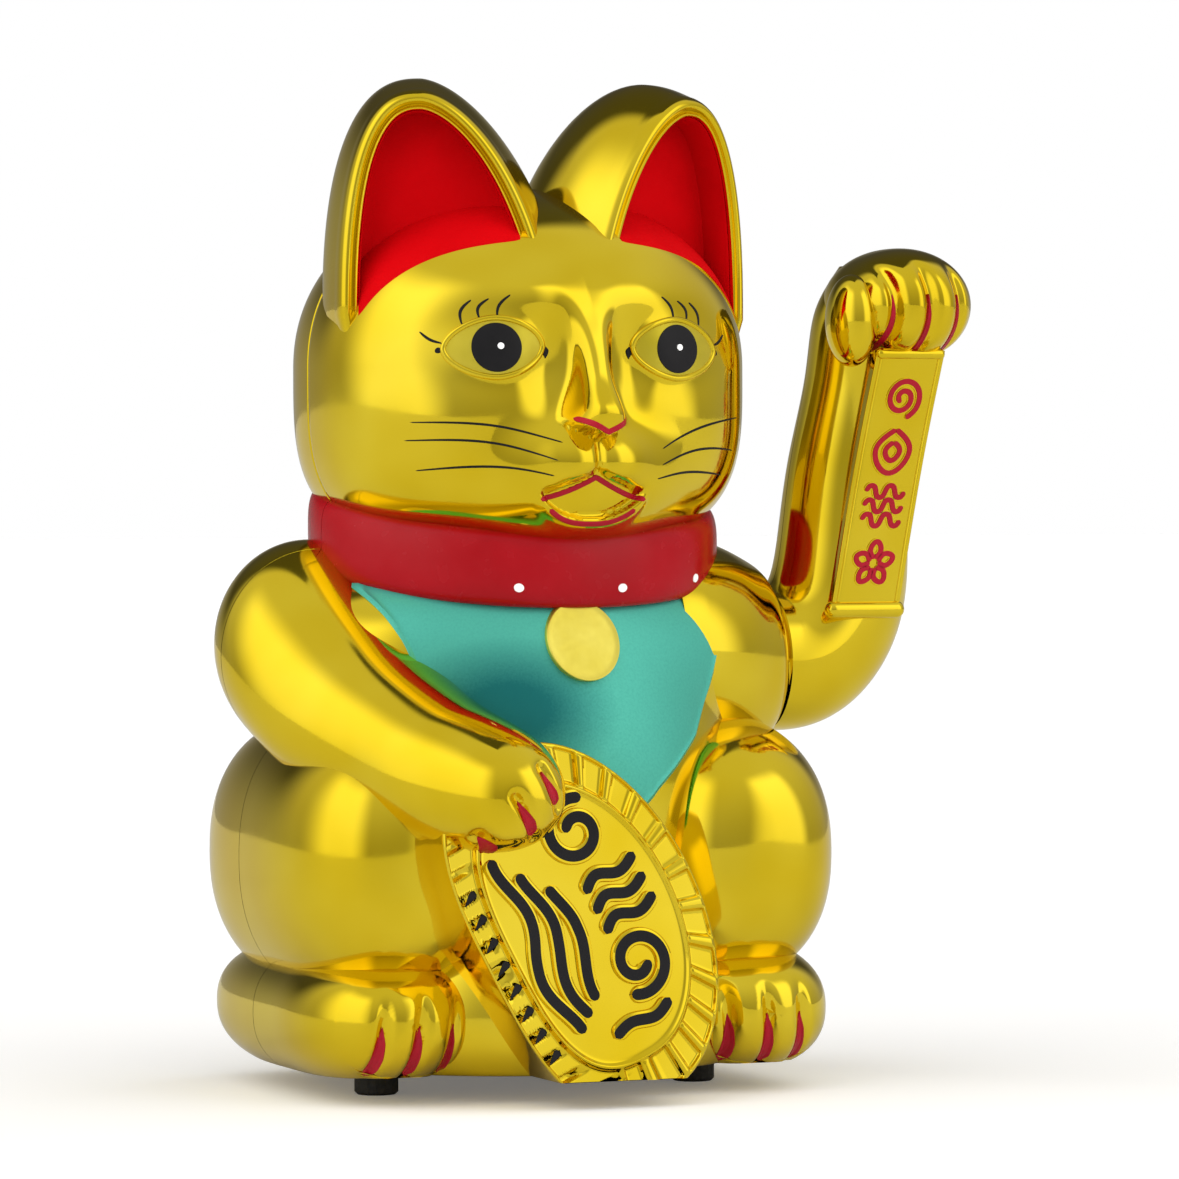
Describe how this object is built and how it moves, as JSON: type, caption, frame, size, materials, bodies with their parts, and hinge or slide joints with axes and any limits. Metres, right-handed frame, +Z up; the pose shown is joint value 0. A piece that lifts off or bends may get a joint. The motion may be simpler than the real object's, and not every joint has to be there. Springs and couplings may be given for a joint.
{
  "type": "beckoning cat figurine",
  "caption": "Hollow seated cat figurine holding an oval coin, with one raised arm that a battery-driven pendulum rocks to and fro.",
  "frame": {"origin": "under the middle of the whole figurine's box, on the surface that its feet stand on", "axes": "+Z up, +Y out of the cat's back and +X towards the side of its raised arm, along that arm's axle"},
  "size_m": [0.23, 0.1576, 0.3],
  "materials": {
    "gold_shell": "polished",
    "base_black": "satin",
    "rubber": "matte",
    "white_plastic": "satin",
    "steel": "satin",
    "magnet": "satin",
    "copper": "gloss",
    "brass": "gloss",
    "board": "satin",
    "component": "satin",
    "cell_wrap": "gloss",
    "red_wire": "satin",
    "black_wire": "satin"
  },
  "bodies": {
    "figure": {"base_plate": "base_black", "base_screw_1": "steel", "base_screw_2": "steel", "base_screw_3": "steel", "base_screw_4": "steel", "battery_cell_1": "cell_wrap", "battery_cell_2": "cell_wrap", "battery_lead_black": "black_wire", "battery_lead_red": "red_wire", "board_screw_1": "steel", "board_screw_2": "steel", "bush_1": "brass", "bush_2": "brass", "capacitor": "component", "circuit_board": "board", "coil_bobbin": "white_plastic", "coil_core": "steel", "coil_lead": "black_wire", "coil_winding": "copper", "contact_plate_1": "steel", "contact_plate_2": "steel", "contact_spring_1": "steel", "contact_spring_2": "steel", "foot_front_left": "rubber", "foot_front_right": "rubber", "foot_rear_left": "rubber", "foot_rear_right": "rubber", "frame_screw_1": "steel", "frame_screw_2": "steel", "front_shell": "gold_shell", "mechanism_frame": "white_plastic", "rear_shell": "gold_shell", "switch_body": "component", "switch_lead": "red_wire", "transistor": "component"},
    "arm": {"arm_front_shell": "gold_shell", "arm_rear_shell": "gold_shell", "arm_hub": "white_plastic", "arm_axle": "steel", "axle_clip": "steel", "pendulum_rod": "white_plastic", "counterweight": "steel", "magnet": "magnet"},
    "battery_door": {"battery_door": "base_black"},
    "switch_knob": {"switch_knob": "white_plastic"}
  },
  "joints": [
    {"name": "arm_wave", "type": "hinge", "parent": "figure", "child": "arm", "pos_m": [0.01235, 0.00886, 0.12597], "axis": [1, 0, 0], "range_deg": [-16, 16]},
    {"name": "battery_door_slide", "type": "slide", "parent": "figure", "child": "battery_door", "axis": [0, 0, -1], "range_m": [0, 0.03]},
    {"name": "switch_slide", "type": "slide", "parent": "figure", "child": "switch_knob", "axis": [1, 0, 0], "range_m": [0, 0.003]}
  ]
}
